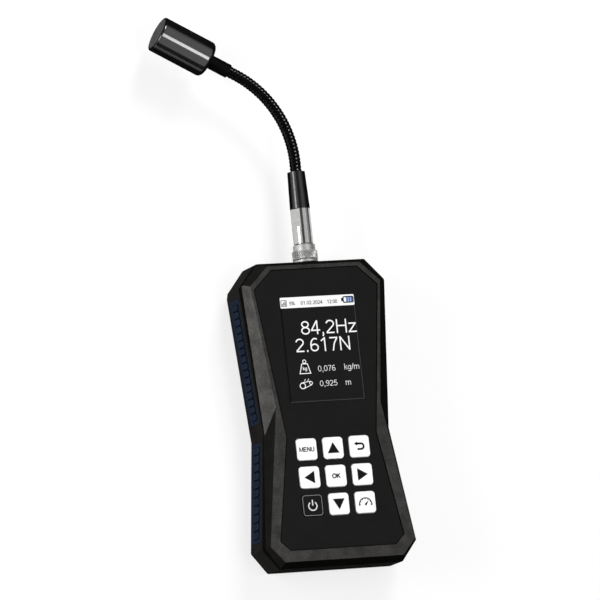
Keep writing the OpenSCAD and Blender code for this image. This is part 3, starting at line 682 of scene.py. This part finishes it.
def bar_figures():
    """Charge, date and time on the status bar."""
    plates = []
    for text, right, width in (("5%", 8.6, 3.2), ("01.02.2024", 24.6, 12.6), ("12:00", 33.2, 6.0)):
        plates += stroked_words(text, height=2.0, right=right, base=BAR_BASE, width=width, weight=0.17)
    return plates


def chart_sign():
    """Three rising columns in a frame."""
    plates = [box_frame((0.6, -5.2), (4.0, -1.7), radius=0.3, width=0.32)]
    for step, height in enumerate((1.0, 1.7, 2.3)):
        left = 1.25 + 0.8 * step
        plates.append(block((left, BAR_BASE), (left + 0.5, BAR_BASE + height)))
    return plates


def battery_sign():
    """The outline of a battery with its nub to the left."""
    case = box_frame((36.4, -4.8), (42.7, -1.1), radius=0.8, width=0.65)
    nub = block((35.5, -3.8), (36.5, -2.0), radius=0.3)
    return [case, nub]


def battery_bars():
    """Three bars inside the battery."""
    return [block((left, -4.1), (left + 1.1, -1.7)) for left in (38.4, 39.7, 41.0)]


def status_bar():
    """A white bar along the top, and what is shown on it."""
    show("status_bar", [block((EDGE, -BAR_HEIGHT), (DISPLAY_WIDTH - EDGE, -EDGE), radius=0.5)], lit_white)
    show("status_figures", bar_figures(), unlit_grey, on_bar=True)
    show("chart_sign", chart_sign(), unlit_black, on_bar=True)
    show("battery_sign", battery_sign(), unlit_black, on_bar=True)
    show("battery_level", battery_bars(), lit_blue, on_bar=True)


def tapered(top, half_top, foot, half_foot):
    """A four-sided outline about the middle of the row signs."""
    return [
        (SIGN_MIDDLE - half_top, top), (SIGN_MIDDLE - half_foot, foot),
        (SIGN_MIDDLE + half_foot, foot), (SIGN_MIDDLE + half_top, top),
    ]


def weight_sign():
    """A weight with a ring on top."""
    body = tapered(top=-36.5, half_top=1.8, foot=-42.2, half_foot=3.4)
    hollow = tapered(top=-36.95, half_top=1.45, foot=-41.75, half_foot=2.8)
    eye = ring((SIGN_MIDDLE, -35.5), 1.1, 0.4)
    words = stroked_words("kg", height=1.9, right=11.8, base=-40.2, width=2.6, weight=0.14)
    return [filled([body, hollow]), eye] + words


def belt_sign():
    """Two pulleys with a belt round them and marks that it is struck."""
    pulleys = [ring((8.2, -48.6), 1.75, 0.45), ring((13.1, -47.3), 1.0, 0.38)]
    runs = [[(7.8, -46.95), (12.9, -46.3)], [(8.7, -50.2), (13.5, -48.2)]]
    marks = [[(9.4, -46.2), (10.2, -45.0)], [(11.3, -46.0), (12.0, -44.9)]]
    return pulleys + [stroke(run, 0.36) for run in runs] + [stroke(mark, 0.34) for mark in marks]


def large_words(text, right, base, width):
    return stroked_words(text, height=7.6, right=right, base=base, width=width, weight=0.095)


def row_words(text, right, base, width):
    return stroked_words(text, height=3.2, right=right, base=base, width=width, weight=0.078)


def readings():
    """Two large readings, and a row each for the belt's mass and its free span."""
    show("reading_frequency", large_words("84,2Hz", right=42.9, base=-21.0, width=32.6), lit_white)
    show("reading_force", large_words("2.617N", right=38.6, base=-30.4, width=32.4), lit_white)
    mass = row_words("0,076", right=28.2, base=-41.3, width=10.4)
    mass += row_words("kg/m", right=42.0, base=-41.0, width=9.0)
    show("row_mass", weight_sign() + mass, lit_white)
    span = row_words("0,925", right=28.4, base=-49.4, width=10.4)
    span += row_words("m", right=36.3, base=-49.4, width=3.4)
    show("row_span", belt_sign() + span, lit_white)


def picture_lines():
    """Faint lit lines along the right and lower edges, and a painted shadow along the left: a dark strip for
    the shade that the window's edge casts.
    """
    foot = EDGE - DISPLAY_HEIGHT
    side_foot = EDGE_LINE - DISPLAY_HEIGHT
    right = DISPLAY_WIDTH - EDGE
    right_line = block((right - EDGE_LINE, side_foot), (right, -BAR_HEIGHT - 0.5))
    foot_line = block((EDGE_LINE, foot), (DISPLAY_WIDTH - 2 * EDGE_LINE, foot + EDGE_LINE))
    show("picture_edge", [right_line, foot_line], lit_grey)
    # Painted shadow: a dark strip along the left edge of the picture, where the window's edge casts shade.
    left_line = block((EDGE, side_foot), (EDGE + PAINTED_SHADOW_LINE, -BAR_HEIGHT - 0.2))
    show("picture_painted_shadow", [left_line], painted_shadow_black)


status_bar()
readings()
picture_lines()


# Gooseneck: one curved piece of coiled tube from the middle of each link to the middle of the next

NECK_DIAMETER = 6.3
LINK_LENGTH = 10.0
TURN_PER_LINK = 10.0
COILS_PER_PIECE = 5
COIL_DEPTH = 0.25
GROOVE_SHARE = 0.8
AROUND = 36
STEPS_PER_COIL = 12
half_link = LINK_LENGTH / 2
arc_radius = half_link / math.tan(math.radians(TURN_PER_LINK / 2))
arc_length = arc_radius * math.radians(TURN_PER_LINK)
coil_pitch = arc_length / COILS_PER_PIECE
sleeve_low, sleeve_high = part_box("strain_sleeve")
neck_height = (sleeve_low.z + sleeve_high.z) / 2 / MM
neck_start = sleeve_high.y / MM


def heading(link):
    return math.radians(TURN_PER_LINK * (link - 1))


def along(link):
    return Vector((-math.sin(heading(link)), math.cos(heading(link)), 0.0))


def pivot(link):
    """The point where a link ends; link 0 ends at the sleeve."""
    point = Vector((0.0, neck_start, neck_height))
    for number in range(1, link + 1):
        point += along(number) * LINK_LENGTH
    return point


def middle(link):
    return pivot(link - 1) + along(link) * half_link


def groove(phase):
    """How far the surface lies under the top of a coil, by the share of a coil that has passed."""
    from_top = abs(phase - round(phase)) * 2
    into_groove = max(from_top - (1 - GROOVE_SHARE), 0.0) / GROOVE_SHARE
    return COIL_DEPTH * math.sin(into_groove * math.pi / 2) ** 2


def coiled_tube(name, length, place, passed):
    """A tube with a helical groove. place gives the axis point and heading at a distance along the piece,
    and passed is the distance that the coils have run before it."""
    rings = max(2, round(length / coil_pitch * STEPS_PER_COIL))
    vertices = []
    for step in range(rings + 1):
        distance = length * step / rings
        centre, turn = place(distance)
        across = Vector((math.cos(turn), math.sin(turn), 0.0))
        for spoke in range(AROUND):
            angle = 2 * math.pi * spoke / AROUND
            radius = NECK_DIAMETER / 2 - groove((passed + distance) / coil_pitch + spoke / AROUND)
            offset = across * math.cos(angle) + Vector((0.0, 0.0, math.sin(angle)))
            vertices.append((centre + offset * radius) * MM)
    faces = []
    for step in range(rings):
        near = step * AROUND
        far = near + AROUND
        for spoke in range(AROUND):
            following = (spoke + 1) % AROUND
            faces.append([near + spoke, far + spoke, far + following, near + following])
    faces.append(list(range(AROUND)))
    faces.append([rings * AROUND + spoke for spoke in range(AROUND)][::-1])
    mesh = bpy.data.meshes.new(name)
    mesh.from_pydata(vertices, [], faces)
    mesh.polygons.foreach_set("use_smooth", [len(face) == 4 for face in faces])
    mesh.materials.append(coil_finish)
    piece = bpy.data.objects.new(name, mesh)
    scene.collection.objects.link(piece)
    return piece


def straight(start, link):
    """The axis of half a link."""
    return lambda distance: (start + along(link) * distance, heading(link))


def bent(link):
    """The axis from the middle of a link to the middle of the next, on one arc."""
    start = middle(link)
    hub = start + Vector((-math.cos(heading(link)), -math.sin(heading(link)), 0.0)) * arc_radius

    def place(distance):
        turn = heading(link) + distance / arc_radius
        return hub + Vector((math.cos(turn), math.sin(turn), 0.0)) * arc_radius, turn
    return place


root = coiled_tube("neck_root", half_link, straight(pivot(0), 1), -half_link)
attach(root, "probe_plug")
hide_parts("neck_link_1")
for link in range(1, LINKS):
    piece = coiled_tube("neck_bend_%d" % link, arc_length, bent(link), arc_length * (link - 1))
    middle(link) * MM
    middle(link + 1) * MM
    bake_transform(piece)
    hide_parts("neck_link_%d" % (link + 1))
tip = coiled_tube("neck_tip", half_link, straight(middle(LINKS), LINKS), arc_length * (LINKS - 1))
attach(tip, "head")


# Floor, lights and camera

STUDIO_CENTRE = Vector((0.0, 0.06, 0.02))
FROM_LEFT = (-0.87, 0.12, 0.45)
ACROSS = (1.0, 0.0, 0.0)
LENGTHWAYS = (0.0, 1.0, 0.0)
SLANTED = (0.5, 0.866, 0.0)


def whiten_background(material, share):
    """Shows a share of plain white to the camera, so that shadows on the floor stay pale."""
    tree = material.node_tree
    white = tree.nodes.new("ShaderNodeEmission")
    white.inputs["Strength"].default_value = 1.0
    rays = tree.nodes.new("ShaderNodeLightPath")
    mix = tree.nodes.new("ShaderNodeMixShader")
    seen = between(material, rays.outputs["Is Camera Ray"], 0.0, share, start=0.0, end=1.0)
    tree.links.new(seen, mix.inputs["Fac"])
    tree.links.new(shader_of(material).outputs["BSDF"], mix.inputs[1])
    tree.links.new(white.outputs["Emission"], mix.inputs[2])
    tree.links.new(mix.outputs["Shader"], tree.nodes["Material Output"].inputs["Surface"])


def studio_floor():
    """A wide pale floor, a little under the flat back so that the two faces don't share a plane."""
    half = 3.0
    level = -0.2 * MM
    blotch = 0.4
    mesh = bpy.data.meshes.new("floor")
    corners = [(-half, -half, level), (half, -half, level), (half, half, level), (-half, half, level)]
    mesh.from_pydata(corners, [], [[0, 1, 2, 3]])
    floor = bpy.data.objects.new("floor", mesh)
    scene.collection.objects.link(floor)
    finish = new_material("pale_floor", grey(0.93), 0.9, specular=0.0)
    vary_colour(finish, noise(finish, blotch), grey(0.925), grey(0.935))
    whiten_background(finish, 0.75)
    mesh.materials.append(finish)


def soft_light(name, direction, distance, size, radiance, side):
    """A rectangular soft box that faces the middle of the part, with its first side along a direction."""
    light = bpy.data.lights.new(name, "AREA")
    light.shape = "RECTANGLE"
    light.size, light.size_y = size
    light.energy = radiance * math.pi * size[0] * size[1]
    lamp = bpy.data.objects.new(name, light)
    way = Vector(direction).normalized()
    upright = way.cross(Vector(side)).normalized()
    turn = Matrix((upright.cross(way), upright, way)).transposed().to_4x4()
    lamp.matrix_world = Matrix.Translation(STUDIO_CENTRE + way * distance) @ turn
    lamp.visible_camera = False
    scene.collection.objects.link(lamp)


def studio_lights():
    """A weak white world, wide tents for the broad sheens and small boxes for the bright ones."""
    world = bpy.data.worlds.new("studio")
    world.use_nodes = True
    background = world.node_tree.nodes["Background"]
    background.inputs["Color"].default_value = (1.0, 1.0, 1.0, 1.0)
    background.inputs["Strength"].default_value = 0.07
    scene.world = world
    soft_light("tent", (0.26, -0.15, 1.0), distance=2.28, size=(8.4, 1.5), radiance=0.8, side=SLANTED)
    soft_light("strip", (0.18, -0.17, 0.97), distance=1.6, size=(0.5, 0.4), radiance=8.5, side=SLANTED)
    soft_light("left_tent", FROM_LEFT, distance=1.4, size=(0.75, 2.0), radiance=1.0, side=LENGTHWAYS)
    soft_light("left_box", FROM_LEFT, distance=1.3, size=(0.75, 0.3), radiance=10.5, side=LENGTHWAYS)
    soft_light("right_tent", (0.8, 0.1, 0.6), distance=1.4, size=(0.45, 0.8), radiance=0.4, side=LENGTHWAYS)
    soft_light("key", (0.22, 0.72, 0.66), distance=1.8, size=(0.6, 0.6), radiance=20.0, side=ACROSS)


def photo_camera():
    """A long lens from above the lower left, turned on its own axis as in the photograph."""
    heading_angle = math.radians(69.0)
    elevation = math.radians(67.29)
    roll = math.radians(-64.39)
    target = Vector((-9.75, 61.5, 31.7)) * MM
    distance = 4.304
    level = Vector((math.sin(heading_angle), math.cos(heading_angle), 0.0))
    forward = level * math.cos(elevation) - Vector((0.0, 0.0, math.sin(elevation)))
    upright = level * math.sin(elevation) + Vector((0.0, 0.0, math.cos(elevation)))
    sideways = forward.cross(upright)
    up = upright * math.cos(roll) + sideways * math.sin(roll)
    right = forward.cross(up)
    lens = bpy.data.cameras.new("photo_camera")
    lens.lens = 480.0
    lens.sensor_width = 36.0
    lens.clip_end = 100.0
    camera = bpy.data.objects.new("photo_camera", lens)
    turn = Matrix((right, up, -forward)).transposed().to_4x4()
    camera.matrix_world = Matrix.Translation(target - forward * distance) @ turn
    scene.collection.objects.link(camera)
    scene.camera = camera


studio_floor()
studio_lights()
photo_camera()
scene.view_settings.view_transform = "Standard"

bpy.context.view_layer.update()
